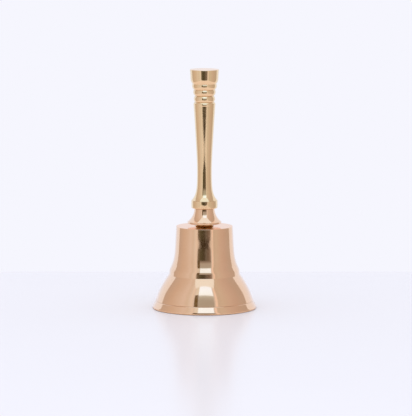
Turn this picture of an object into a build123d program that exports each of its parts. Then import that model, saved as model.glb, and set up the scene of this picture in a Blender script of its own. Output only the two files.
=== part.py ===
from build123d import *
from math import cos, pi, sqrt
import os

# A hand-rung sanctus bell: a brass bell, a turned brass handle clamped on its crown by one stud, and a
# clapper that hangs from the stud's lower end. Millimetres. The origin is the centre of the mouth's
# plane, and +Z runs up the axis to the handle's head. Radii are from the axis.

os.makedirs("parts", exist_ok=True)

# Bell, outside, from the mouth up. A slope is a radius's change for each millimetre of height, and a
# reach is the share of a stretch's height over which its curve keeps the slope at that end.
MOUTH_RADIUS = 33.1
RIM_EDGE_HEIGHT = 1.2
LIP_FLARE = 2.0
LIP_HEIGHT = 5.1
FLARE_FOOT_SLOPE = 0.37
FLARE_FOOT_REACH = 0.34
FLARE_TOP_SLOPE = 0.70
FLARE_TOP_REACH = 0.52
BAND_FOOT_HEIGHT = 21.7
BAND_FOOT_RADIUS = 22.6
BAND_TAPER = 0.3
BAND_HEIGHT = 3.0
BEVEL_WIDTH = 1.6
BEVEL_HEIGHT = 3.5
WAIST_FOOT_SLOPE = 0.39
WAIST_FOOT_REACH = 0.24
WAIST_TOP_SLOPE = 0.075
WAIST_TOP_REACH = 0.45
SHOULDER_RADIUS = 18.0
BELL_HEIGHT = 52.5

# Bell, inside
RIM_WIDTH = 3.0
BOW_HOLLOW = 0.9
WAIST_WALL = 2.4
WAIST_HOLLOW = 0.7
CROWN_WALL = 3.0
CROWN_CORNER = 3.0

# Rounded edges
RIM_ROUND = 0.4
SHOULDER_ROUND = 0.4
TRIM_ROUND = 0.25

# Handle, from the crown up
SPACER_RADIUS = 6.2
SPACER_HEIGHT = 1.8
SPACER_HOLLOW = 0.8
FOOT_RADIUS = 10.8
FOOT_RIM_HEIGHT = 1.2
FOOT_RIM_STEP = 0.2
FOOT_HEIGHT = 9.8
FOOT_NECK_RADIUS = 6.4
FOOT_HOLLOW = 1.1
DISC_RADIUS = 8.45
DISC_HEIGHT = 4.9
DISC_BULGE = 0.05
DISC_FOOT_ROUND = 0.6
GRIP_STEP = 0.1
GRIP_WAIST_RADIUS = 4.7
GRIP_COVE_HEIGHT = 17.5
GRIP_COVE_FOOT_HANDLE = (-2.6, 3.0)
GRIP_COVE_TOP_HANDLE = (0.0, -12.5)
GRIP_SWELL_HEIGHT = 43.2
GRIP_SWELL_FOOT_HANDLE = (0.0, 8.0)
GRIP_MIDDLE_RADIUS = 5.68
GRIP_MIDDLE_HEIGHT = 23.0
GRIP_MIDDLE_SLOPE = 0.058
GRIP_MIDDLE_REACH = 6.5
GRIP_SWELL_TOP_HANDLE = (-0.48, -7.0)
GRIP_SHOULDER_RADIUS = 6.95
GRIP_SHOULDER_HEIGHT = 2.1
GRIP_SHOULDER_BULGE = 0.35
GROOVE_RADII = (6.2, 6.1, 6.8, 7.7)
BEAD_HEIGHTS = (3.9, 3.9, 3.7)
BEAD_BULGES = (0.62, 0.72, 0.62)
HEAD_SWELL_RADIUS = 8.9
HEAD_SWELL_HEIGHT = 3.0
HEAD_SWELL_BULGE = 0.25
HEAD_RADIUS = 9.3
HEAD_HEIGHT = 9.1

# Stud and the fasteners inside the crown
STUD_RADIUS = 2.5
STUD_CLEARANCE = 0.2
STUD_REACH = 26.0
STUD_END_GAP = 1.0
STUD_CHAMFER = 0.5
WASHER_RADIUS = 6.0
WASHER_THICKNESS = 1.0
CLAMP_NUT_FLATS = 8.0
CLAMP_NUT_HEIGHT = 2.7

# Eye, link and clapper
CHAIN_GAP = 0.12
EYE_BOSS_RADIUS = 3.6
EYE_BOSS_HEIGHT = 4.2
EYE_BOSS_FLOOR = 0.8
EYE_BOSS_CHAMFER = 0.5
EYE_SINK = 0.4
EYE_RADIUS = 2.8
EYE_WIRE_RADIUS = 1.0
LINK_RADIUS = 3.1
LINK_WIRE_RADIUS = 0.75
LOOP_RADIUS = 2.5
LOOP_WIRE_RADIUS = 0.9
ROD_RADIUS = 1.4
ROD_COLLAR_RADIUS = 2.4
ROD_COLLAR_HEIGHT = 1.4
SPIGOT_RADIUS = 1.25
SPIGOT_CLEARANCE = 0.1
SPIGOT_OVERHANG = 0.25
BALL_RADIUS = 6.5
BALL_FLAT_RADIUS = 2.7
BALL_HEIGHT = 11.0
BALL_NUT_FLATS = 5.0
BALL_NUT_HEIGHT = 2.0

# Bell heights and radii that follow
crease_radius = MOUTH_RADIUS - LIP_FLARE
mouth_bore = MOUTH_RADIUS - RIM_WIDTH
band_top = BAND_FOOT_HEIGHT + BAND_HEIGHT
band_top_radius = BAND_FOOT_RADIUS - BAND_TAPER
waist_foot = band_top + BEVEL_HEIGHT
waist_foot_radius = band_top_radius - BEVEL_WIDTH
crown_inside = BELL_HEIGHT - CROWN_WALL
clear_bore = STUD_RADIUS + STUD_CLEARANCE

# Handle heights and radii that follow
foot_base = BELL_HEIGHT + SPACER_HEIGHT
disc_base = foot_base + FOOT_HEIGHT
grip_base = disc_base + DISC_HEIGHT
grip_base_radius = DISC_RADIUS - GRIP_STEP
grip_waist = grip_base + GRIP_COVE_HEIGHT
grip_shoulder = grip_waist + GRIP_SWELL_HEIGHT
bead_base = grip_shoulder + GRIP_SHOULDER_HEIGHT
head_base = bead_base + sum(BEAD_HEIGHTS)
head_top = head_base + HEAD_HEIGHT

# Heights inside the bell that follow, from the crown down to the clapper's lowest point
washer_base = crown_inside - WASHER_THICKNESS
clamp_nut_base = washer_base - CLAMP_NUT_HEIGHT
eye_boss_base = clamp_nut_base - EYE_BOSS_HEIGHT
stud_base = eye_boss_base + EYE_BOSS_FLOOR
eye_centre = eye_boss_base - EYE_SINK - EYE_RADIUS
link_pivot = eye_centre - EYE_RADIUS
link_centre = link_pivot + EYE_WIRE_RADIUS + CHAIN_GAP + LINK_WIRE_RADIUS - LINK_RADIUS
clapper_pivot = link_centre - LINK_RADIUS
loop_centre = clapper_pivot + LINK_WIRE_RADIUS + CHAIN_GAP + LOOP_WIRE_RADIUS - LOOP_RADIUS
rod_top = loop_centre - LOOP_RADIUS
ball_flat = sqrt(BALL_RADIUS**2 - BALL_FLAT_RADIUS**2)
ball_top = BALL_HEIGHT + ball_flat
ball_base = BALL_HEIGHT - ball_flat
ball_nut_base = ball_base - BALL_NUT_HEIGHT
spigot_base = ball_nut_base - SPIGOT_OVERHANG


def shifted(point, move):
    return (point[0] + move[0], point[1] + move[1])


def eased(top, top_slope, top_reach, foot, foot_slope, foot_reach):
    """A curve down from top to foot that keeps a given slope at each end."""
    height = top[1] - foot[1]
    top_handle = shifted(top, (height * top_reach * top_slope, -height * top_reach))
    foot_handle = shifted(foot, (-height * foot_reach * foot_slope, height * foot_reach))
    return Bezier(top, top_handle, foot_handle, foot)


def turned(outline, rounds=()):
    """Turn a closed outline of (radius, height) edges about Z, once the named corners are rounded."""
    section = make_face(outline)
    for corner, radius in rounds:
        section = fillet(section.vertices().sort_by_distance(corner)[0], radius)
    return revolve(Plane.XZ * section, Axis.Z)


def disc(radius, base, height):
    return Pos(0, 0, base) * Cylinder(radius, height, align=(Align.CENTER, Align.CENTER, Align.MIN))


def drilled(solid, radius, base, top):
    """Cut a round hole along the axis between two heights."""
    return solid - disc(radius, base, top - base)


def wire_ring(centre_height, ring_radius, wire_radius, normal):
    return Plane(origin=(0, 0, centre_height), z_dir=normal) * Torus(ring_radius, wire_radius)


def hex_nut(across_flats, height, bore_radius, base):
    """A hexagonal nut whose corners are chamfered at both faces."""
    corner_radius = across_flats / 2 / cos(pi / 6)
    blank = extrude(RegularPolygon(corner_radius, 6), height)
    chamfered = Cylinder(corner_radius, height, align=(Align.CENTER, Align.CENTER, Align.MIN))
    chamfered = chamfer(chamfered.edges().filter_by(GeomType.CIRCLE), corner_radius - across_flats / 2)
    return Pos(0, 0, base) * drilled(blank & chamfered, bore_radius, 0, height)


def bell_shell():
    """The bell: crown, waist, bevelled band, flare and lip outside, and a smooth wall inside."""
    crown_edge = (SHOULDER_RADIUS, BELL_HEIGHT)
    waist_edge = (waist_foot_radius, waist_foot)
    band_edge = (BAND_FOOT_RADIUS, BAND_FOOT_HEIGHT)
    crease = (crease_radius, LIP_HEIGHT)
    waist_curve = eased(
        crown_edge, WAIST_TOP_SLOPE, WAIST_TOP_REACH, waist_edge, WAIST_FOOT_SLOPE, WAIST_FOOT_REACH
    )
    flare_curve = eased(
        band_edge, FLARE_TOP_SLOPE, FLARE_TOP_REACH, crease, FLARE_FOOT_SLOPE, FLARE_FOOT_REACH
    )
    rim_top = (MOUTH_RADIUS, RIM_EDGE_HEIGHT)
    rim_outside = (MOUTH_RADIUS, 0)
    rim_inside = (mouth_bore, 0)
    inner_foot = (waist_foot_radius - WAIST_WALL, waist_foot)
    inner_corner = (SHOULDER_RADIUS - WAIST_WALL, crown_inside)
    outline = [
        Line((clear_bore, BELL_HEIGHT), crown_edge),
        waist_curve,
        Polyline(waist_edge, (band_top_radius, band_top), band_edge),
        flare_curve,
        Polyline(crease, rim_top, rim_outside, rim_inside),
        SagittaArc(rim_inside, inner_foot, BOW_HOLLOW),
        SagittaArc(inner_foot, inner_corner, WAIST_HOLLOW),
        Polyline(inner_corner, (clear_bore, crown_inside), (clear_bore, BELL_HEIGHT)),
    ]
    rounds = [
        (crown_edge, SHOULDER_ROUND),
        (rim_top, RIM_ROUND),
        (rim_outside, RIM_ROUND),
        (rim_inside, RIM_ROUND),
        (inner_corner, CROWN_CORNER),
    ]
    return turned(outline, rounds)


def crown_spacer():
    """The short hollow neck that lifts the handle's foot clear of the crown."""
    crown_edge = (SPACER_RADIUS, BELL_HEIGHT)
    foot_edge = (SPACER_RADIUS, foot_base)
    outline = [
        Line((clear_bore, BELL_HEIGHT), crown_edge),
        SagittaArc(crown_edge, foot_edge, SPACER_HOLLOW),
        Polyline(foot_edge, (clear_bore, foot_base), (clear_bore, BELL_HEIGHT)),
    ]
    return turned(outline)


def handle_foot():
    """The flanged foot, swept up from its rim to a narrow neck."""
    rim_foot = (FOOT_RADIUS, foot_base)
    rim_top = (FOOT_RADIUS, foot_base + FOOT_RIM_HEIGHT)
    sweep_foot = (FOOT_RADIUS - FOOT_RIM_STEP, foot_base + FOOT_RIM_HEIGHT)
    neck_top = (FOOT_NECK_RADIUS, disc_base)
    outline = [
        Polyline((clear_bore, foot_base), rim_foot, rim_top, sweep_foot),
        SagittaArc(sweep_foot, neck_top, FOOT_HOLLOW),
        Polyline(neck_top, (clear_bore, disc_base), (clear_bore, foot_base)),
    ]
    return turned(outline, [(rim_foot, TRIM_ROUND), (neck_top, TRIM_ROUND)])


def collar_disc():
    """The plain disc above the foot, well rounded at its base."""
    base_edge = (DISC_RADIUS, disc_base)
    top_edge = (DISC_RADIUS, grip_base)
    outline = [
        Line((clear_bore, disc_base), base_edge),
        SagittaArc(base_edge, top_edge, -DISC_BULGE),
        Polyline(top_edge, (clear_bore, grip_base), (clear_bore, disc_base)),
    ]
    return turned(outline, [(base_edge, DISC_FOOT_ROUND), (top_edge, TRIM_ROUND)])


def bead_arcs():
    """The three rounded beads below the head, from the lowest up."""
    arcs = []
    height = bead_base
    for step, bulge in enumerate(BEAD_BULGES):
        foot = (GROOVE_RADII[step], height)
        height += BEAD_HEIGHTS[step]
        arcs.append(SagittaArc(foot, (GROOVE_RADII[step + 1], height), -bulge))
    return arcs


def handle_grip():
    """The grip: a cove off the disc, a slow swell, three beads and the flared head."""
    base_edge = (grip_base_radius, grip_base)
    waist = (GRIP_WAIST_RADIUS, grip_waist)
    shoulder = (GRIP_SHOULDER_RADIUS, grip_shoulder)
    cove_foot_handle = shifted(base_edge, GRIP_COVE_FOOT_HANDLE)
    cove_top_handle = shifted(waist, GRIP_COVE_TOP_HANDLE)
    swell_foot_handle = shifted(waist, GRIP_SWELL_FOOT_HANDLE)
    middle = (GRIP_MIDDLE_RADIUS, grip_waist + GRIP_MIDDLE_HEIGHT)
    middle_reach = (GRIP_MIDDLE_REACH * GRIP_MIDDLE_SLOPE, GRIP_MIDDLE_REACH)
    middle_low_handle = shifted(middle, (-middle_reach[0], -middle_reach[1]))
    middle_high_handle = shifted(middle, middle_reach)
    swell_top_handle = shifted(shoulder, GRIP_SWELL_TOP_HANDLE)
    head_foot = (GROOVE_RADII[-1], head_base)
    head_swell = (HEAD_SWELL_RADIUS, head_base + HEAD_SWELL_HEIGHT)
    head_edge = (HEAD_RADIUS, head_top)
    outline = [
        Line((0, grip_base), base_edge),
        Bezier(base_edge, cove_foot_handle, cove_top_handle, waist),
        Bezier(waist, swell_foot_handle, middle_low_handle, middle),
        Bezier(middle, middle_high_handle, swell_top_handle, shoulder),
        SagittaArc(shoulder, (GROOVE_RADII[0], bead_base), -GRIP_SHOULDER_BULGE),
        *bead_arcs(),
        SagittaArc(head_foot, head_swell, -HEAD_SWELL_BULGE),
        Polyline(head_swell, head_edge, (0, head_top), (0, grip_base)),
    ]
    grip = turned(outline, [(head_edge, TRIM_ROUND)])
    return drilled(grip, STUD_RADIUS, grip_base, grip_base + STUD_REACH + STUD_END_GAP)


def handle_stud():
    """The stud that clamps the handle, from the eye's boss up into the grip."""
    stud = disc(STUD_RADIUS, stud_base, grip_base + STUD_REACH - stud_base)
    return chamfer(stud.edges().filter_by(GeomType.CIRCLE), STUD_CHAMFER)


def inner_washer():
    washer = disc(WASHER_RADIUS, washer_base, WASHER_THICKNESS)
    washer = chamfer(washer.edges().filter_by(GeomType.CIRCLE).sort_by(Axis.Z)[0], TRIM_ROUND)
    return drilled(washer, clear_bore, washer_base, crown_inside)


def clamp_nut():
    return hex_nut(CLAMP_NUT_FLATS, CLAMP_NUT_HEIGHT, STUD_RADIUS, clamp_nut_base)


def clapper_eye():
    """The eye nut: a threaded boss with a ring below it, whose hole faces along Y."""
    boss = disc(EYE_BOSS_RADIUS, eye_boss_base, EYE_BOSS_HEIGHT)
    boss = chamfer(boss.edges().filter_by(GeomType.CIRCLE).sort_by(Axis.Z)[0], EYE_BOSS_CHAMFER)
    ring = wire_ring(eye_centre, EYE_RADIUS, EYE_WIRE_RADIUS, (0, 1, 0))
    return drilled(boss + ring, STUD_RADIUS, stud_base, clamp_nut_base)


def link_ring():
    """The loose ring between eye and clapper, whose hole faces along X."""
    return wire_ring(link_centre, LINK_RADIUS, LINK_WIRE_RADIUS, (1, 0, 0))


def clapper_rod():
    """The clapper's rod: a loop, a collar that the ball seats against, and a spigot through the ball."""
    rod = wire_ring(loop_centre, LOOP_RADIUS, LOOP_WIRE_RADIUS, (0, 1, 0))
    rod += disc(ROD_RADIUS, ball_top, rod_top - ball_top)
    rod += disc(ROD_COLLAR_RADIUS, ball_top, ROD_COLLAR_HEIGHT)
    return rod + disc(SPIGOT_RADIUS, spigot_base, ball_top - spigot_base)


def clapper_ball():
    """The ball, with a flat at each pole for the rod's collar and the nut."""
    ball = Pos(0, 0, BALL_HEIGHT) * Sphere(BALL_RADIUS)
    ball &= disc(BALL_RADIUS, ball_base, ball_top - ball_base)
    return drilled(ball, SPIGOT_RADIUS + SPIGOT_CLEARANCE, ball_base, ball_top)


def ball_nut():
    return hex_nut(BALL_NUT_FLATS, BALL_NUT_HEIGHT, SPIGOT_RADIUS, ball_nut_base)


PIECES = (
    bell_shell,
    crown_spacer,
    handle_foot,
    collar_disc,
    handle_grip,
    handle_stud,
    inner_washer,
    clamp_nut,
    clapper_eye,
    link_ring,
    clapper_rod,
    clapper_ball,
    ball_nut,
)

for piece in PIECES:
    export_step(piece(), f"parts/{piece.__name__}.step")

print(f"height {head_top:.2f}, mouth {2 * MOUTH_RADIUS:.2f}, clapper's lowest point {spigot_base:.2f}")
print(f"link pivot {link_pivot:.3f}, clapper pivot {clapper_pivot:.3f}, ball height {BALL_HEIGHT:.2f}")
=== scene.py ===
import math

import bmesh
import bpy
from mathutils import Matrix, Vector


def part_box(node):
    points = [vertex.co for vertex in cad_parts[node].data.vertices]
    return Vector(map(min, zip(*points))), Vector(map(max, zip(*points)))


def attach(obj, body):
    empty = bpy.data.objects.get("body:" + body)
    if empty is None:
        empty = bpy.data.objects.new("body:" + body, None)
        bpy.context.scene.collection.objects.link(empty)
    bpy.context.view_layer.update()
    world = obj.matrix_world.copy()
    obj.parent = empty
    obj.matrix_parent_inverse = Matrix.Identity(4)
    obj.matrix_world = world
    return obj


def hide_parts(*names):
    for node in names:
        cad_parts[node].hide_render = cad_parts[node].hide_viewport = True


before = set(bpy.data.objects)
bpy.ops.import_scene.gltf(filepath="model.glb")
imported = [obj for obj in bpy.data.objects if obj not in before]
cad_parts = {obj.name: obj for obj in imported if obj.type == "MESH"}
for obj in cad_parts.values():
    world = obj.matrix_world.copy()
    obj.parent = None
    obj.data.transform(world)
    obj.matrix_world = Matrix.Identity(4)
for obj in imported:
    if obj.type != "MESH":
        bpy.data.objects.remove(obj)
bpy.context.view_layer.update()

# A sanctus bell of polished brass. Outlines are in millimetres, as (radius, height) from the mouth's
# plane up, and are turned into meshes in metres. What the frame fixes is read from its boxes.

MM = 0.001
TURNS = 224                     # facets round a turned piece
LINE_STEPS = 8                  # steps along a straight stretch
ARC_STEPS = 28                  # steps along an arc
BEZIER_STEPS = 56               # steps along a cubic curve
CORNER_STEPS = 7                # steps round a softened corner
RING_STEPS = 160                # facets round a wire ring
WIRE_STEPS = 40                 # facets round its wire
SAME_POINT = 1e-4               # millimetres: an outline's points closer than this are one
SAME_VERTEX = 1e-7              # metres: a mesh's vertices closer than this are one
SHARP_ANGLE = 38                # degrees: an edge bent by more than this is shaded sharp
CAST_GRAIN = 0.09               # millimetres: how fine the mesh of a fused casting is
FILLET_PASSES = 4               # smoothings that round the joins of a fused casting


def top_of(node):
    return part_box(node)[1].z / MM


def foot_of(node):
    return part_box(node)[0].z / MM


def radius_of(node):
    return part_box(node)[1].x / MM


# ---- Drawing outlines ----------------------------------------------------------------------------

class Outline:
    """The section of a turned piece, drawn stretch by stretch, with softened corners between."""

    def __init__(self, radius, height):
        self.stretches = []
        self.softness = []
        self.pen = Vector((radius, height))

    def _add(self, points, soft):
        self.stretches.append([self.pen.copy()] + points)
        self.softness.append(soft)
        self.pen = points[-1].copy()
        return self

    def line(self, radius, height, soft=0.0):
        """A straight stretch. soft is how far its far corner is cut back to be rounded."""
        end = Vector((radius, height))
        return self._add([self.pen.lerp(end, k / LINE_STEPS) for k in range(1, LINE_STEPS + 1)], soft)

    def arc(self, radius, height, bulge, soft=0.0):
        """An arc that stands out from its chord by bulge, to the right of the way it is drawn."""
        start, end = self.pen.copy(), Vector((radius, height))
        chord = end - start
        half = chord.length / 2
        side = Vector((chord.y, -chord.x)).normalized()
        circle = (half * half + bulge * bulge) / (2 * abs(bulge))
        sign = math.copysign(1, bulge)
        centre = start + chord / 2 + side * (bulge - sign * circle)
        reach = math.asin(min(1.0, half / circle))
        along = chord.normalized()
        points = []
        for k in range(1, ARC_STEPS + 1):
            angle = reach * (2 * k / ARC_STEPS - 1)
            forward = along * circle * math.sin(angle)
            points.append(centre + forward + side * sign * circle * math.cos(angle))
        return self._add(points, soft)

    def bezier(self, first, second, end, soft=0.0):
        """A cubic curve. first and second are its handles, counted from its two ends."""
        start, end = self.pen.copy(), Vector(end)
        a, b = start + Vector(first), end + Vector(second)
        points = []
        for k in range(1, BEZIER_STEPS + 1):
            t = k / BEZIER_STEPS
            u = 1 - t
            points.append(start * u**3 + a * 3 * u * u * t + b * 3 * u * t * t + end * t**3)
        return self._add(points, soft)

    def points(self, closed):
        """Every point of the outline, with its corners softened."""
        count = len(self.stretches)
        trimmed = []
        for k, stretch in enumerate(self.stretches):
            before = self.softness[k - 1] if (k or closed) else 0.0
            after = self.softness[k]
            trimmed.append(cut_back(cut_back(stretch, before)[::-1], after)[::-1])
        result = []
        for k in range(count):
            result += trimmed[k]
            if self.softness[k] and (closed or k + 1 < count):
                corner = self.stretches[k][-1]
                result += softened(trimmed[k][-1], corner, trimmed[(k + 1) % count][0])
        return without_repeats(result, closed)


def cut_back(points, reach):
    """A run of points less its first few millimetres."""
    left = reach
    for k in range(len(points) - 1):
        step = (points[k + 1] - points[k]).length
        if step > left:
            return [points[k].lerp(points[k + 1], left / step)] + points[k + 1:]
        left -= step
    return points[-1:]


def softened(start, corner, end):
    """The points inside a rounded corner."""
    curve = []
    for k in range(1, CORNER_STEPS):
        t = k / CORNER_STEPS
        curve.append(start * (1 - t)**2 + corner * 2 * t * (1 - t) + end * t**2)
    return curve


def without_repeats(points, closed):
    kept = [points[0]]
    for point in points[1:]:
        if (point - kept[-1]).length > SAME_POINT:
            kept.append(point)
    if closed and (kept[0] - kept[-1]).length < SAME_POINT:
        kept.pop()
    return kept


# ---- Meshes --------------------------------------------------------------------------------------

def piece_from(name, vertices, faces):
    """A smooth-shaded object from points in millimetres."""
    mesh = bpy.data.meshes.new(name)
    mesh.from_pydata([Vector(v) * MM for v in vertices], [], faces)
    work = bmesh.new()
    work.from_mesh(mesh)
    bmesh.ops.remove_doubles(work, verts=work.verts, dist=SAME_VERTEX)
    bmesh.ops.recalc_face_normals(work, faces=work.faces)
    work.to_mesh(mesh)
    work.free()
    mesh.shade_smooth()
    mesh.set_sharp_from_angle(angle=math.radians(SHARP_ANGLE))
    piece = bpy.data.objects.new(name, mesh)
    bpy.context.scene.collection.objects.link(piece)
    return piece


def turned(name, outline, closed=True, radius_at=None):
    """An outline turned about the axis. radius_at(radius, angle) can vary it round the axis."""
    points = outline.points(closed)
    vertices, faces = [], []
    for turn in range(TURNS):
        angle = 2 * math.pi * turn / TURNS
        for point in points:
            radius = radius_at(point.x, angle) if radius_at else point.x
            vertices.append((radius * math.cos(angle), radius * math.sin(angle), point.y))
    count = len(points)
    for turn in range(TURNS):
        here, there = turn * count, (turn + 1) % TURNS * count
        for k in range(count if closed else count - 1):
            after = (k + 1) % count
            faces.append((here + k, there + k, there + after, here + after))
    return piece_from(name, vertices, faces)


def ring_points(centre_height, ring_radius, wire_radius_at, facing):
    """Points and faces of a wire ring whose hole faces along "X" or "Y"."""
    vertices, faces = [], []
    for k in range(RING_STEPS):
        angle = 2 * math.pi * k / RING_STEPS
        wire = wire_radius_at(angle)
        here, there = k * WIRE_STEPS, (k + 1) % RING_STEPS * WIRE_STEPS
        for j in range(WIRE_STEPS):
            turn = 2 * math.pi * j / WIRE_STEPS
            out = ring_radius + wire * math.cos(turn)
            flat, deep, high = out * math.cos(angle), wire * math.sin(turn), out * math.sin(angle)
            place = (deep, flat) if facing == "X" else (flat, deep)
            vertices.append((place[0], place[1], centre_height + high))
            after = (j + 1) % WIRE_STEPS
            faces.append((here + j, there + j, there + after, here + after))
    return vertices, faces


def melted(name, parts):
    """Several solids fused into one cast piece, with small fillets where they meet."""
    work = bmesh.new()
    for part in parts:
        work.from_mesh(part.data)
        bpy.data.objects.remove(part)
    mesh = bpy.data.meshes.new(name)
    work.to_mesh(mesh)
    work.free()
    piece = bpy.data.objects.new(name, mesh)
    bpy.context.scene.collection.objects.link(piece)
    remesh = piece.modifiers.new("fuse", "REMESH")
    remesh.mode = "VOXEL"
    remesh.voxel_size = CAST_GRAIN * MM
    smooth = piece.modifiers.new("fillet", "SMOOTH")
    smooth.iterations = FILLET_PASSES
    smooth.factor = 0.5
    graph = bpy.context.evaluated_depsgraph_get()
    fused = bpy.data.meshes.new_from_object(piece.evaluated_get(graph))
    piece.modifiers.clear()
    piece.data = fused
    fused.name = name
    fused.shade_smooth()
    return piece


# ---- Materials -----------------------------------------------------------------------------------

GROOVE_REACH = 0.0011           # metres: how far the polish residue and the painted shade spread out of a groove or a gap
RESIDUE_ROUGHNESS = 0.25
LINE_HAZE = 0.5                 # the share of the haze that the lathe's lines carry
MARK_DEPTH = 2e-5               # metres: the depth of the tool's marks

# Polish residue laid where occlusion is high, so this colour also paints shade into grooves, creases and
# gaps between parts.
POLISH_RESIDUE_AND_SHADE = (0.22, 0.115, 0.04, 1.0)
BELL_CLEAN = (0.93, 0.570, 0.350, 1.0)
BELL_DULLED = (0.91, 0.545, 0.325, 1.0)
HANDLE_CLEAN = (0.93, 0.630, 0.360, 1.0)
HANDLE_DULLED = (0.91, 0.600, 0.330, 1.0)
# The neck's brass is darker and browner: partly tarnish, partly painted shade for the narrow gap between
# the crown and the foot.
NECK_SHADED_CLEAN = (0.50, 0.34, 0.14, 1.0)
NECK_SHADED_DULLED = (0.34, 0.22, 0.08, 1.0)
INSIDE_CLEAN = (0.80, 0.54, 0.27, 1.0)
INSIDE_DULLED = (0.58, 0.38, 0.18, 1.0)
CAST_CLEAN = (0.72, 0.45, 0.22, 1.0)
CAST_DULLED = (0.50, 0.31, 0.15, 1.0)
BOARD_PALE = (0.90, 0.90, 0.93, 1.0)
BOARD_PALER = (0.92, 0.92, 0.95, 1.0)
ZINC_BRIGHT = (196, 198, 200)   # this one and the next two are display colours
ZINC_DULLED = (164, 166, 166)
ROOM = (246, 246, 254)


class Nodes:
    """A short way to write a material's nodes."""

    def __init__(self, name):
        self.material = bpy.data.materials.new(name)
        self.material.use_nodes = True
        self.tree = self.material.node_tree
        self.shader = self.tree.nodes["Principled BSDF"]

    def node(self, kind, inputs=(), **settings):
        made = self.tree.nodes.new(kind)
        for key, value in settings.items():
            setattr(made, key, value)
        for key, value in dict(inputs).items():
            self.put(made.inputs[key], value)
        return made

    def put(self, socket, value):
        if isinstance(value, bpy.types.NodeSocket):
            self.tree.links.new(value, socket)
        else:
            socket.default_value = value

    def maths(self, operation, first, second=0.0, third=0.0):
        made = self.node("ShaderNodeMath", {0: first, 1: second, 2: third}, operation=operation)
        return made.outputs[0]

    def noise(self, vector, scale, detail=4.0, roughness=0.55, distortion=0.0):
        made = self.node("ShaderNodeTexNoise", {
            "Vector": vector, "Scale": scale, "Detail": detail,
            "Roughness": roughness, "Distortion": distortion,
        })
        return made.outputs["Fac"]

    def ramp(self, value, low, high, out_low=0.0, out_high=1.0):
        """A value between low and high as one between out_low and out_high, and held at those."""
        made = self.node("ShaderNodeMapRange", {
            "Value": value, "From Min": low, "From Max": high, "To Min": out_low, "To Max": out_high,
        }, clamp=True)
        return made.outputs["Result"]

    def mix(self, share, first, second):
        made = self.node("ShaderNodeMix", data_type="RGBA")
        self.put(made.inputs["Factor"], share)
        self.put(made.inputs["A"], first)
        self.put(made.inputs["B"], second)
        return made.outputs["Result"]

    def place(self):
        return self.node("ShaderNodeTexCoord").outputs["Object"]

    def turning_lines(self, vector, scale):
        """Fine rings round the axis, such as a lathe and a buffing wheel leave."""
        parts = self.node("ShaderNodeSeparateXYZ", {"Vector": vector}).outputs
        across = self.maths("MULTIPLY", parts["X"], parts["X"])
        radius = self.maths("SQRT", self.maths("MULTIPLY_ADD", parts["Y"], parts["Y"], across))
        rings = self.node("ShaderNodeCombineXYZ", {"X": radius, "Z": parts["Z"]}).outputs["Vector"]
        return self.noise(rings, scale, detail=3.0, roughness=0.7)

    def bump(self, height, strength, normal=None):
        inputs = {"Height": height, "Strength": strength, "Distance": MARK_DEPTH}
        made = self.node("ShaderNodeBump", inputs)
        if normal is not None:
            self.put(made.inputs["Normal"], normal)
        return made.outputs["Normal"]


def linear(red, green, blue):
    """A display colour, 0 to 255, as the linear colour that a shader takes."""
    levels = []
    for level in (red, green, blue):
        share = level / 255
        levels.append(share / 12.92 if share <= 0.04045 else ((share + 0.055) / 1.055)**2.4)
    return (*levels, 1.0)


def brass(name, clean, dulled, roughness, haze, tool_marks, grain):
    """Brass: its clean and dulled colours, how rough it is, and how much of the tool's marks it keeps."""
    nodes = Nodes(name)
    place = nodes.place()
    patches = nodes.noise(place, scale=70.0, detail=5.0, distortion=0.6)
    smears = nodes.noise(place, scale=340.0, detail=6.0, roughness=0.65, distortion=1.2)
    lines = nodes.turning_lines(place, scale=9000.0)
    specks = nodes.noise(place, scale=5200.0, detail=2.0)
    tarnish = nodes.ramp(patches, 0.42, 0.72)
    polished = nodes.mix(tarnish, clean, dulled)
    # Painted shade and polish residue: the colour darkens where ambient occlusion finds grooves, creases
    # and gaps between parts.
    occlusion = nodes.node("ShaderNodeAmbientOcclusion", {"Distance": GROOVE_REACH}, samples=12)
    residue_and_shade = nodes.ramp(occlusion.outputs["AO"], 0.35, 0.85, 0.85, 0.0)
    nodes.put(nodes.shader.inputs["Base Color"], nodes.mix(residue_and_shade, polished, POLISH_RESIDUE_AND_SHADE))
    nodes.shader.inputs["Metallic"].default_value = 1.0
    film = nodes.ramp(smears, 0.45, 0.75, 0.0, haze)
    rubbed = nodes.maths("MULTIPLY_ADD", lines, haze * LINE_HAZE, film)
    rubbed = nodes.maths("MULTIPLY_ADD", residue_and_shade, RESIDUE_ROUGHNESS, rubbed)
    nodes.put(nodes.shader.inputs["Roughness"], nodes.maths("ADD", rubbed, roughness))
    turned_normal = nodes.bump(lines, tool_marks)
    nodes.put(nodes.shader.inputs["Normal"], nodes.bump(specks, grain, turned_normal))
    return nodes.material


def plated_steel(name):
    """Bright zinc plate on steel: a grey with a faint crystalline mottle."""
    nodes = Nodes(name)
    place = nodes.place()
    cells = nodes.node("ShaderNodeTexVoronoi", {"Vector": place, "Scale": 1400.0}).outputs["Color"]
    patches = nodes.noise(place, scale=260.0)
    colour = nodes.mix(nodes.ramp(patches, 0.3, 0.7), linear(*ZINC_BRIGHT), linear(*ZINC_DULLED))
    nodes.put(nodes.shader.inputs["Base Color"], colour)
    nodes.shader.inputs["Metallic"].default_value = 1.0
    grey = nodes.node("ShaderNodeSeparateColor", {"Color": cells}).outputs["Red"]
    nodes.put(nodes.shader.inputs["Roughness"], nodes.ramp(grey, 0.0, 1.0, 0.22, 0.36))
    lines = nodes.turning_lines(place, scale=5000.0)
    nodes.put(nodes.shader.inputs["Normal"], nodes.bump(lines, 0.15))
    return nodes.material


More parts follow.
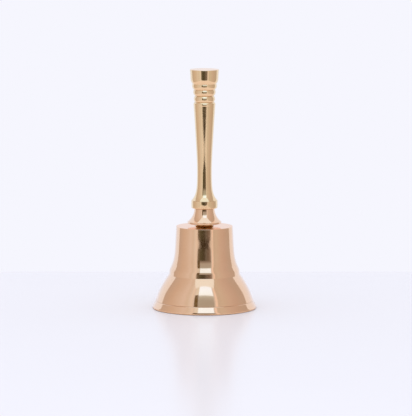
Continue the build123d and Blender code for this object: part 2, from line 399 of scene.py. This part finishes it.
def pale_board(name):
    """A smooth pale board with a faint sheen."""
    nodes = Nodes(name)
    place = nodes.place()
    tone = nodes.noise(place, scale=6.0)
    nodes.put(nodes.shader.inputs["Base Color"], nodes.mix(tone, BOARD_PALE, BOARD_PALER))
    grain = nodes.noise(place, scale=900.0)
    nodes.put(nodes.shader.inputs["Roughness"], nodes.ramp(grain, 0.3, 0.7, 0.17, 0.21))
    nodes.shader.inputs["IOR"].default_value = 1.12
    return nodes.material


def glowing(name, axis, stops):
    """A studio sheet's light, which grades along an axis from one (place in metres, light) to the next."""
    nodes = Nodes(name)
    peak = max(max(light) for _, light in stops)
    first, last = stops[0][0], stops[-1][0]
    across = nodes.node("ShaderNodeSeparateXYZ", {"Vector": nodes.place()}).outputs[axis]
    grade = nodes.node("ShaderNodeValToRGB", {"Fac": nodes.ramp(across, first, last)})
    marks = grade.color_ramp.elements
    for k, (place, light) in enumerate(stops):
        share = (place - first) / (last - first)
        mark = marks[k] if k < 2 else marks.new(share)
        mark.position = share
        mark.color = (*(level / peak for level in light), 1.0)
    glow = nodes.node("ShaderNodeEmission", {"Color": grade.outputs["Color"], "Strength": peak})
    out = nodes.tree.nodes["Material Output"]
    nodes.put(out.inputs["Surface"], glow.outputs["Emission"])
    return nodes.material


bell_brass = brass(
    "bell_brass", BELL_CLEAN, BELL_DULLED, roughness=0.06, haze=0.05, tool_marks=0.05, grain=0.01)
handle_brass = brass(
    "handle_brass", HANDLE_CLEAN, HANDLE_DULLED, roughness=0.07, haze=0.05, tool_marks=0.05, grain=0.01)
# Painted shade: the neck spacer gets a darker, browner brass, which also stands for its tarnish.
shaded_neck_brass = brass(
    "shaded_neck_brass", NECK_SHADED_CLEAN, NECK_SHADED_DULLED, roughness=0.16, haze=0.10, tool_marks=0.20, grain=0.05)
inside_brass = brass(
    "inside_brass", INSIDE_CLEAN, INSIDE_DULLED, roughness=0.30, haze=0.16, tool_marks=0.60, grain=0.15)
clapper_brass = brass(
    "clapper_brass", CAST_CLEAN, CAST_DULLED, roughness=0.20, haze=0.16, tool_marks=0.35, grain=0.20)
steel = plated_steel("plated_steel")


def dress(piece, material, slot, body, *nodes):
    """Give a piece its material, the body it rides on and the CAD nodes that it stands for. slot is not
    used.
    """
    piece.data.materials.clear()
    piece.data.materials.append(material)
    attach(piece, body)
    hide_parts(*nodes)
    return piece


# ---- The bell ------------------------------------------------------------------------------------

LIP_FLARE = 2.0                 # how far the lip stands out from the crease above it
LIP_HEIGHT = 5.1
RIM_EDGE_HEIGHT = 1.2
RIM_WIDTH = 3.0
CREASE_CUT = (-0.15, -0.17)     # from the crease to the bottom of the line turned under it
CREASE_LEDGE = (0.16, -0.45)    # from the crease to the lip's top edge
FLARE_TOP = (0.70, 0.52)        # a curve's slope at its top, and the share of its height it is held for
FLARE_FOOT = (0.37, 0.34)
WAIST_TOP = (0.075, 0.45)
WAIST_FOOT = (0.39, 0.24)
WAIST_WALL = 2.4
WAIST_HOLLOW = 0.7              # how far the inside of the waist curves in
BOW_HOLLOW = 0.9                # how far the inside of the bow curves in
STUD_CLEARANCE = 0.2

mouth_radius = radius_of("bell_shell")
bell_height = top_of("bell_shell")
crown_inside = top_of("inner_washer")
bore = radius_of("handle_stud") + STUD_CLEARANCE
crease = Vector((mouth_radius - LIP_FLARE, LIP_HEIGHT))
band_foot = Vector((22.6, 21.7))
band_top = Vector((22.3, 24.7))
waist_foot = Vector((20.7, 28.2))
shoulder = Vector((18.0, bell_height))


def eased(span, top, foot):
    """The handles of a curve that falls by span, from the slope and the share at its top and its foot."""
    top_reach, foot_reach = span * top[1], span * foot[1]
    return (top_reach * top[0], -top_reach), (-foot_reach * foot[0], foot_reach)


def bell_outline():
    section = Outline(bore, bell_height)
    section.line(shoulder.x, shoulder.y, soft=0.3)
    section.bezier(*eased(bell_height - waist_foot.y, WAIST_TOP, WAIST_FOOT), waist_foot, soft=0.12)
    section.line(band_top.x, band_top.y, soft=0.9)
    section.line(band_foot.x, band_foot.y, soft=0.12)
    section.bezier(*eased(band_foot.y - crease.y, FLARE_TOP, FLARE_FOOT), crease, soft=0.08)
    section.line(crease.x + CREASE_CUT[0], crease.y + CREASE_CUT[1], soft=0.04)
    section.line(crease.x + CREASE_LEDGE[0], crease.y + CREASE_LEDGE[1], soft=0.08)
    section.line(mouth_radius, RIM_EDGE_HEIGHT, soft=0.5)
    section.line(mouth_radius, 0.0, soft=0.4)
    section.line(mouth_radius - RIM_WIDTH, 0.0, soft=0.4)
    section.arc(waist_foot.x - WAIST_WALL, waist_foot.y, -BOW_HOLLOW)
    section.arc(shoulder.x - WAIST_WALL, crown_inside, -WAIST_HOLLOW, soft=2.6)
    section.line(bore, crown_inside, soft=0.15)
    return section.line(bore, bell_height, soft=0.15)


def leave_satin_inside(casting, material):
    """Give the bell's inside, which is turned but not polished, a material of its own."""
    casting.data.materials.append(material)
    for face in casting.data.polygons:
        outward = face.normal.x * face.center.x + face.normal.y * face.center.y
        faces_axis = outward < -1.0 * MM
        under_crown = face.normal.z < -0.5 and face.center.z > waist_foot.y * MM
        if faces_axis or under_crown:
            face.material_index = 1


casting = turned("bell_casting", bell_outline())
dress(casting, bell_brass, "bell_brass", "bell", "bell_shell")
leave_satin_inside(casting, inside_brass)


# ---- The handle ----------------------------------------------------------------------------------

SPACER_HOLLOW = 0.8
FOOT_RIM_HEIGHT = 1.2
FOOT_RIM_STEP = 0.2
FOOT_NECK_RADIUS = 6.4
FOOT_HOLLOW = 1.1
DISC_RADIUS = 8.41
DISC_BULGE = 0.10
GRIP_FOOT_RADIUS = 8.35
GRIP_COVE_FOOT_HANDLE = (-2.6, 3.0)
GRIP_COVE_TOP_HANDLE = (0.0, -12.5)
GRIP_WAIST_RADIUS = 4.7
GRIP_COVE_HEIGHT = 17.5         # from the disc to the grip's waist
GRIP_WAIST_HANDLE = (0.0, 8.0)
GRIP_MIDDLE_RADIUS = 5.68
GRIP_MIDDLE_HEIGHT = 23.0       # from the grip's waist to the middle of its swell
GRIP_MIDDLE_HANDLE = Vector((0.377, 6.5))
GRIP_SWELL_TOP_HANDLE = (-0.48, -7.0)
GRIP_SWELL_RADIUS = 6.95
GRIP_SWELL_HEIGHT = 43.2        # from the grip's waist to the top of its swell
GRIP_SHOULDER_HEIGHT = 2.1
GRIP_SHOULDER_BULGE = 0.35
FIRST_GROOVE_RADIUS = 6.2
BEADS = ((3.9, 0.62, 6.1), (3.9, 0.72, 6.8), (3.7, 0.62, 7.7))     # height, bulge, groove over it
HEAD_SWELL_RADIUS = 8.9
HEAD_SWELL_HEIGHT = 3.0
HEAD_SWELL_BULGE = 0.25

foot_base = foot_of("handle_foot")
disc_base = foot_of("collar_disc")
grip_base = foot_of("handle_grip")
grip_top = top_of("handle_grip")


def spacer_outline():
    radius = radius_of("crown_spacer")
    section = Outline(bore, bell_height)
    section.line(radius, bell_height)
    section.arc(radius, foot_base, -SPACER_HOLLOW)
    section.line(bore, foot_base)
    return section.line(bore, bell_height)


def foot_outline():
    radius = radius_of("handle_foot")
    rim_top = foot_base + FOOT_RIM_HEIGHT
    section = Outline(bore, foot_base)
    section.line(radius, foot_base, soft=0.3)
    section.line(radius, rim_top, soft=0.12)
    section.line(radius - FOOT_RIM_STEP, rim_top, soft=0.08)
    section.arc(FOOT_NECK_RADIUS, disc_base, -FOOT_HOLLOW, soft=0.2)
    section.line(bore, disc_base)
    return section.line(bore, foot_base)


def disc_outline():
    section = Outline(bore, disc_base)
    section.line(DISC_RADIUS, disc_base, soft=0.6)
    section.arc(DISC_RADIUS, grip_base, DISC_BULGE, soft=0.2)
    section.line(bore, grip_base)
    return section.line(bore, disc_base)


def grip_outline():
    waist = Vector((GRIP_WAIST_RADIUS, grip_base + GRIP_COVE_HEIGHT))
    middle = Vector((GRIP_MIDDLE_RADIUS, waist.y + GRIP_MIDDLE_HEIGHT))
    swell = Vector((GRIP_SWELL_RADIUS, waist.y + GRIP_SWELL_HEIGHT))
    height = swell.y + GRIP_SHOULDER_HEIGHT
    section = Outline(0.0, grip_base)
    section.line(GRIP_FOOT_RADIUS, grip_base, soft=0.1)
    section.bezier(GRIP_COVE_FOOT_HANDLE, GRIP_COVE_TOP_HANDLE, waist)
    section.bezier(GRIP_WAIST_HANDLE, -GRIP_MIDDLE_HANDLE, middle)
    section.bezier(GRIP_MIDDLE_HANDLE, GRIP_SWELL_TOP_HANDLE, swell)
    section.arc(FIRST_GROOVE_RADIUS, height, GRIP_SHOULDER_BULGE, soft=0.08)
    for bead_height, bulge, groove_radius in BEADS:
        height += bead_height
        section.arc(groove_radius, height, bulge, soft=0.08)
    section.arc(HEAD_SWELL_RADIUS, height + HEAD_SWELL_HEIGHT, HEAD_SWELL_BULGE)
    section.line(radius_of("handle_grip"), grip_top, soft=0.3)
    return section.line(0.0, grip_top)


dress(turned("neck_spacer", spacer_outline()), shaded_neck_brass, "handle_brass", "bell", "crown_spacer")
dress(turned("foot_turning", foot_outline()), bell_brass, "handle_brass", "bell", "handle_foot")
dress(turned("disc_turning", disc_outline()), handle_brass, "handle_brass", "bell", "collar_disc")
grip = turned("grip_turning", grip_outline(), closed=False)
dress(grip, handle_brass, "handle_brass", "bell", "handle_grip")


# ---- Fasteners under the crown -------------------------------------------------------------------

NUT_FLATS = 8.0
BALL_NUT_FLATS = 5.0
THREAD_CHAMFER = 0.3
NUT_FACE_SHARE = 0.98           # the radius of a nut's flat face over that of its flats
NUT_CHAMFER_SLOPE = 0.6
SPIGOT_RADIUS = 1.25


def washer_outline():
    radius, base, top = radius_of("inner_washer"), foot_of("inner_washer"), top_of("inner_washer")
    section = Outline(bore, base)
    section.line(radius, base, soft=0.25)
    section.line(radius, top, soft=0.1)
    section.line(bore, top)
    return section.line(bore, base)


def hexagonal(across_flats):
    """The radius of a hexagonal nut whose corners are turned off at both faces."""
    def radius_at(radius, angle):
        bearing = (angle + math.pi / 6) % (math.pi / 3) - math.pi / 6
        return min(radius, across_flats / 2 / math.cos(bearing))
    return radius_at


def nut_outline(node, across_flats, thread):
    base, top = foot_of(node), top_of(node)
    face = across_flats / 2 * NUT_FACE_SHARE
    corner = across_flats / 2 / math.cos(math.pi / 6)
    chamfer = (corner - across_flats / 2) * NUT_CHAMFER_SLOPE
    section = Outline(thread, base + THREAD_CHAMFER)
    section.line(thread + THREAD_CHAMFER, base)
    section.line(face, base)
    section.line(corner, base + chamfer)
    section.line(corner, top - chamfer)
    section.line(face, top)
    section.line(thread + THREAD_CHAMFER, top)
    section.line(thread, top - THREAD_CHAMFER)
    return section.line(thread, base + THREAD_CHAMFER)


def nut(name, node, across_flats, thread):
    return turned(name, nut_outline(node, across_flats, thread), radius_at=hexagonal(across_flats))


dress(turned("crown_washer", washer_outline()), steel, "plated_steel", "bell", "inner_washer")
crown_nut = nut("crown_nut", "clamp_nut", NUT_FLATS, radius_of("handle_stud"))
dress(crown_nut, steel, "plated_steel", "bell", "clamp_nut")
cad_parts["handle_stud"].data.materials.clear()
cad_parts["handle_stud"].data.materials.append(steel)


# ---- Eye, link and clapper -----------------------------------------------------------------------

EYE_RADIUS = 2.8                # to the middle of its wire
EYE_WIRE_RADIUS = 1.0
BOSS_RADIUS = 3.6
BOSS_CHAMFER = 1.0
BOSS_OVERLAP = 0.6              # how far the boss reaches down over the eye
LINK_WELD = 0.05                # the share by which the link's wire is thicker at its weld
WELD_MIDDLE = 0.48              # radians round the link
WELD_WIDTH = 0.16
LOOP_RADIUS = 2.5               # to the middle of its wire
LOOP_WIRE_RADIUS = 0.9
ROD_RADIUS = 1.4
COLLAR_RADIUS = 2.4
COLLAR_EDGE_HEIGHT = 1.4
COLLAR_HEIGHT = 1.5
SPIGOT_CLEARANCE = 0.1


def boss_outline():
    base = foot_of("clapper_eye") + 2 * (EYE_RADIUS + EYE_WIRE_RADIUS) - BOSS_OVERLAP
    top = top_of("clapper_eye")
    section = Outline(0.0, base)
    section.line(BOSS_RADIUS - BOSS_CHAMFER, base, soft=0.3)
    section.line(BOSS_RADIUS, base + BOSS_CHAMFER, soft=0.2)
    section.line(BOSS_RADIUS, top, soft=0.15)
    return section.line(0.0, top)


def eye_nut():
    centre = foot_of("clapper_eye") + EYE_RADIUS + EYE_WIRE_RADIUS
    ring = piece_from("eye_ring", *ring_points(centre, EYE_RADIUS, lambda angle: EYE_WIRE_RADIUS, "Y"))
    boss = turned("eye_boss", boss_outline(), closed=False)
    return melted("eye_nut", [boss, ring])


def welded(wire_radius):
    """A wire's radius round a ring whose ends are welded at one side."""
    def radius_at(angle):
        weld = math.exp(-((angle - WELD_MIDDLE) / WELD_WIDTH)**2)
        return wire_radius * (1 - LINK_WELD + LINK_WELD * weld)
    return radius_at


def link():
    low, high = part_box("link_ring")
    centre = (low.z + high.z) / 2 / MM
    wire = high.x / MM
    return piece_from("link_loop", *ring_points(centre, high.y / MM - wire, welded(wire), "X"))


def stem_outline():
    ball_top = top_of("clapper_ball")
    base = foot_of("clapper_rod")
    top = top_of("clapper_rod") - 2 * (LOOP_RADIUS + LOOP_WIRE_RADIUS) + LOOP_WIRE_RADIUS
    section = Outline(0.0, base)
    section.line(SPIGOT_RADIUS, base, soft=0.2)
    section.line(SPIGOT_RADIUS, ball_top)
    section.line(COLLAR_RADIUS, ball_top, soft=0.15)
    section.line(COLLAR_RADIUS, ball_top + COLLAR_EDGE_HEIGHT, soft=0.3)
    section.line(ROD_RADIUS, ball_top + COLLAR_HEIGHT, soft=0.2)
    section.line(ROD_RADIUS, top)
    return section.line(0.0, top)


def stem():
    centre = top_of("clapper_rod") - LOOP_RADIUS - LOOP_WIRE_RADIUS
    loop = piece_from("stem_loop", *ring_points(centre, LOOP_RADIUS, lambda angle: LOOP_WIRE_RADIUS, "Y"))
    rod = turned("stem_rod", stem_outline(), closed=False)
    return melted("clapper_stem", [rod, loop])


def ball_outline():
    low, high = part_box("clapper_ball")
    radius = high.x / MM
    middle = (low.z + high.z) / 2 / MM
    flat = (high.z - low.z) / 2 / MM
    rim = math.sqrt(radius * radius - flat * flat)
    bulge = radius - math.sqrt(radius**2 - ((radius - rim)**2 + flat**2) / 4)
    hole = SPIGOT_RADIUS + SPIGOT_CLEARANCE
    section = Outline(hole, middle - flat)
    section.line(rim, middle - flat, soft=0.15)
    section.arc(radius, middle, bulge)
    section.arc(rim, middle + flat, bulge, soft=0.15)
    section.line(hole, middle + flat)
    return section.line(hole, middle - flat)


dress(eye_nut(), clapper_brass, "clapper_brass", "bell", "clapper_eye")
dress(link(), clapper_brass, "clapper_brass", "link", "link_ring")
dress(stem(), clapper_brass, "clapper_brass", "clapper", "clapper_rod")
dress(turned("clapper_bob", ball_outline()), clapper_brass, "clapper_brass", "clapper", "clapper_ball")
bob_nut = nut("bob_nut", "ball_nut", BALL_NUT_FLATS, SPIGOT_RADIUS)
dress(bob_nut, steel, "plated_steel", "clapper", "ball_nut")


# ---- Stage ---------------------------------------------------------------------------------------

# In metres from the middle of the bell's mouth. The tent's sheets are seen only in reflections.
TABLE_SIDE = 0.24
TABLE_BACK = 0.155
TABLE_THICKNESS = 0.02
TENT_LEFT = -0.24
TENT_RIGHT = 0.25
TENT_FRONT = -0.40
TENT_BACK = 0.11
TENT_FOOT = -0.02
TENT_TOP = 0.57
RIGHT_WALL_GAP = 0.02           # between the right wall and the front
RIGHT_EDGE = 0.215              # where the front's upper part ends on the right
WAY_IN = (-0.195, 0.187)        # its left and right sides
WAY_IN_POINT = (-0.02, 0.02)    # the same at its foot
WAY_IN_FOOT = 0.013
WAY_IN_FULL = 0.030             # where it has widened to its sides
WAY_IN_TOP = 0.115
CLOTH_SEAM = -0.12              # between the dark cloth on the left and the pale one
CLOTH_TOP = 0.33
CLOTH_LEFT_TOP = 0.36
BACKDROP_PLACE = 2.0            # how far behind the bell the bright cloths hang
BACKDROP_FOOT = -1.5
BACKDROP_TOP = 4.0
BACKDROP_INNER = 0.35           # to either side of the bell
BACKDROP_OUTER = 4.95
FAR = 9.0                       # past the ends of every sheet

FLAP_LIGHT = (0.80, 0.85, 0.92)
LEFT_EDGE_LIGHT = (0.77, 0.85, 0.96)
RIGHT_EDGE_LIGHT = (0.72, 0.79, 0.89)
LEFT_SHEET_LIGHT = (0.80, 0.95, 1.05)
WAY_IN_FOOT_LIGHT = (0.032, 0.020, 0.004)
LEFT_BACKDROP_LIGHT = (0.89, 1.07, 1.35)
RIGHT_BACKDROP_LIGHT = (0.89, 1.03, 1.25)
LEFT_WALL_LIGHT = (
    (-0.40, (0.86, 0.92, 0.98)),
    (-0.31, (0.76, 0.85, 0.96)),
    (-0.25, (0.72, 0.76, 0.81)),
    (-0.17, (0.76, 0.80, 0.89)),
    (-0.10, (0.71, 0.72, 0.76)),
    (-0.02, (0.67, 0.65, 0.66)),
    (0.05, (0.61, 0.60, 0.62)),
    (0.11, (0.57, 0.57, 0.60)),
)
RIGHT_WALL_LIGHT = (
    (-0.40, (0.74, 0.78, 0.82)),
    (-0.34, (0.63, 0.66, 0.68)),
    (-0.24, (0.66, 0.69, 0.70)),
    (-0.12, (0.64, 0.62, 0.64)),
    (-0.04, (0.60, 0.57, 0.59)),
    (0.05, (0.55, 0.55, 0.57)),
    (0.11, (0.54, 0.54, 0.56)),
)
WAY_IN_LIGHT = (
    (-0.20, (0.27, 0.26, 0.22)),
    (-0.13, (0.125, 0.125, 0.09)),
    (-0.07, (0.088, 0.091, 0.057)),
    (0.00, (0.084, 0.078, 0.055)),
    (0.04, (0.165, 0.17, 0.16)),
    (0.10, (0.18, 0.16, 0.14)),
    (0.155, (0.26, 0.25, 0.25)),
    (0.19, (0.50, 0.50, 0.50)),
)
CLOTH_LIGHT = (
    (0.110, (0.20, 0.19, 0.17)),
    (0.135, (0.32, 0.33, 0.34)),
    (0.165, (0.46, 0.52, 0.56)),
    (0.24, (0.45, 0.53, 0.58)),
    (0.305, (0.55, 0.70, 0.80)),
    (0.33, (0.66, 0.86, 1.05)),
)
CLOTH_LEFT_LIGHT = (
    (0.110, (0.13, 0.12, 0.08)),
    (0.24, (0.17, 0.14, 0.07)),
    (0.33, (0.17, 0.15, 0.10)),
    (0.36, (0.35, 0.37, 0.38)),
)
SHEET_LIGHT = (
    (0.33, (0.72, 0.92, 1.15)),
    (0.345, (1.03, 1.52, 2.15)),
    (0.42, (1.05, 1.58, 2.35)),
    (0.57, (1.05, 1.60, 2.50)),
)
CEILING_LIGHT = (
    (-0.40, (0.94, 1.20, 1.48)),
    (-0.1, (0.94, 1.24, 1.58)),
    (0.11, (0.93, 1.20, 1.50)),
)


def board(name, low, high, material):
    """A flat slab between two corners."""
    size = Vector(high) - Vector(low)
    middle = (Vector(high) + Vector(low)) / 2
    placing = Matrix.Translation(middle) @ Matrix.Diagonal((*size, 1.0))
    work = bmesh.new()
    bmesh.ops.create_cube(work, size=1.0)
    bmesh.ops.transform(work, matrix=placing, verts=work.verts)
    mesh = bpy.data.meshes.new(name)
    work.to_mesh(mesh)
    work.free()
    slab = bpy.data.objects.new(name, mesh)
    bpy.context.scene.collection.objects.link(slab)
    mesh.materials.append(material)
    return slab


def plain(light):
    """One light all over a sheet, written as a graded one is."""
    return (-FAR, light), (FAR, light)


def sheet(name, corners, light, axis="X"):
    """A lit sheet of the tent between four corners, graded along an axis."""
    mesh = bpy.data.meshes.new(name)
    mesh.from_pydata(corners, [], [(0, 1, 2, 3)])
    mesh.materials.append(glowing(name, axis, light))
    made = bpy.data.objects.new(name, mesh)
    bpy.context.scene.collection.objects.link(made)
    made.visible_camera = False
    made.visible_diffuse = False
    made.visible_shadow = False
    return made


def front(name, low, high, foot, head, light, axis="X"):
    """A part of the tent's front: its two heights, and its left and right ends at its foot and its head."""
    corners = (
        (foot[0], TENT_FRONT, low),
        (foot[1], TENT_FRONT, low),
        (head[1], TENT_FRONT, high),
        (head[0], TENT_FRONT, high),
    )
    return sheet(name, corners, light, axis)


def wall(name, side, front_end, light):
    corners = (
        (side, front_end, TENT_FOOT),
        (side, TENT_BACK, TENT_FOOT),
        (side, TENT_BACK, TENT_TOP),
        (side, front_end, TENT_TOP),
    )
    return sheet(name, corners, light, "Y")


def ceiling():
    corners = (
        (TENT_LEFT, TENT_FRONT, TENT_TOP),
        (TENT_RIGHT, TENT_FRONT, TENT_TOP),
        (TENT_RIGHT, TENT_BACK, TENT_TOP),
        (TENT_LEFT, TENT_BACK, TENT_TOP),
    )
    return sheet("ceiling", corners, CEILING_LIGHT, "Y")


def backdrop(name, side, light):
    """A bright cloth well behind the bell, on the left (side -1) or the right (side 1) of the view."""
    inner, outer = side * BACKDROP_INNER, side * BACKDROP_OUTER
    corners = (
        (inner, BACKDROP_PLACE, BACKDROP_FOOT),
        (outer, BACKDROP_PLACE, BACKDROP_FOOT),
        (outer, BACKDROP_PLACE, BACKDROP_TOP),
        (inner, BACKDROP_PLACE, BACKDROP_TOP),
    )
    return sheet(name, corners, plain(light))


def tent():
    """A light tent: pale walls, a dark way in at the front, and a bright sheet over it."""
    wall("left_wall", TENT_LEFT, TENT_FRONT, LEFT_WALL_LIGHT)
    wall("right_wall", TENT_RIGHT, TENT_FRONT + RIGHT_WALL_GAP, RIGHT_WALL_LIGHT)
    backdrop("left_backdrop", -1, LEFT_BACKDROP_LIGHT)
    backdrop("right_backdrop", 1, RIGHT_BACKDROP_LIGHT)
    left, right = WAY_IN
    point_left, point_right = WAY_IN_POINT
    low, full, top = WAY_IN_FOOT, WAY_IN_FULL, WAY_IN_TOP
    across = (TENT_LEFT, TENT_RIGHT)
    left_of_seam, right_of_seam = (left, CLOTH_SEAM), (CLOTH_SEAM, right)
    by_left_wall, to_right_edge = (TENT_LEFT, left), (right, RIGHT_EDGE)
    front("front_hem", TENT_FOOT, low, across, across, plain(FLAP_LIGHT))
    front("left_flap", low, full, (TENT_LEFT, point_left), (TENT_LEFT, left), plain(FLAP_LIGHT))
    front("right_flap", low, full, (point_right, TENT_RIGHT), (right, TENT_RIGHT), plain(FLAP_LIGHT))
    front("way_in_foot", low, full, WAY_IN_POINT, WAY_IN, plain(WAY_IN_FOOT_LIGHT))
    front("way_in", full, top, WAY_IN, WAY_IN, WAY_IN_LIGHT)
    front("cloth_left", top, CLOTH_LEFT_TOP, left_of_seam, left_of_seam, CLOTH_LEFT_LIGHT, "Z")
    front("cloth", top, CLOTH_TOP, right_of_seam, right_of_seam, CLOTH_LIGHT, "Z")
    front("sheet_left", CLOTH_LEFT_TOP, TENT_TOP, left_of_seam, left_of_seam, plain(LEFT_SHEET_LIGHT))
    front("sheet", CLOTH_TOP, TENT_TOP, right_of_seam, right_of_seam, SHEET_LIGHT, "Z")
    front("left_edge", full, TENT_TOP, by_left_wall, by_left_wall, plain(LEFT_EDGE_LIGHT))
    front("right_edge", full, TENT_TOP, to_right_edge, to_right_edge, plain(RIGHT_EDGE_LIGHT))
    ceiling()


def lamp(name, place, aim, size, energy):
    """A large soft lamp."""
    data = bpy.data.lights.new(name, "AREA")
    data.shape = "RECTANGLE"
    data.size, data.size_y = size
    data.energy = energy
    made = bpy.data.objects.new(name, data)
    bpy.context.scene.collection.objects.link(made)
    made.location = place
    made.rotation_euler = (Vector(aim) - Vector(place)).to_track_quat("-Z", "Y").to_euler()
    made.visible_camera = False
    made.visible_glossy = False
    return made


def surroundings():
    world = bpy.data.worlds.new("pale_room")
    bpy.context.scene.world = world
    world.use_nodes = True
    background = world.node_tree.nodes["Background"]
    background.inputs["Color"].default_value = linear(*ROOM)
    background.inputs["Strength"].default_value = 1.0
    near_left, far_right = (-TABLE_SIDE, TENT_FRONT, -TABLE_THICKNESS), (TABLE_SIDE, TABLE_BACK, 0.0)
    board("table", near_left, far_right, pale_board("pale_board"))
    tent()
    lamp("soft_top", place=(-0.3, -0.6, 1.6), aim=(0, 0, 0.05), size=(1.4, 1.4), energy=1.9)
    lamp("soft_front", place=(0, -0.75, 0.35), aim=(0, -0.38, 0), size=(0.6, 0.4), energy=0.16)


def camera(place, tilt, lens):
    """A long lens that looks down at the bell from in front. tilt is in degrees."""
    data = bpy.data.cameras.new("camera")
    data.sensor_width = 36.0
    data.lens = lens
    data.clip_end = 50.0
    made = bpy.data.objects.new("camera", data)
    bpy.context.scene.collection.objects.link(made)
    made.location = place
    made.rotation_euler = (math.radians(90 - tilt), 0, 0)
    bpy.context.scene.camera = made


surroundings()
camera(place=(0.001, -2.258, 0.358), tilt=7.419, lens=310.0)
bpy.context.scene.view_settings.view_transform = "Standard"
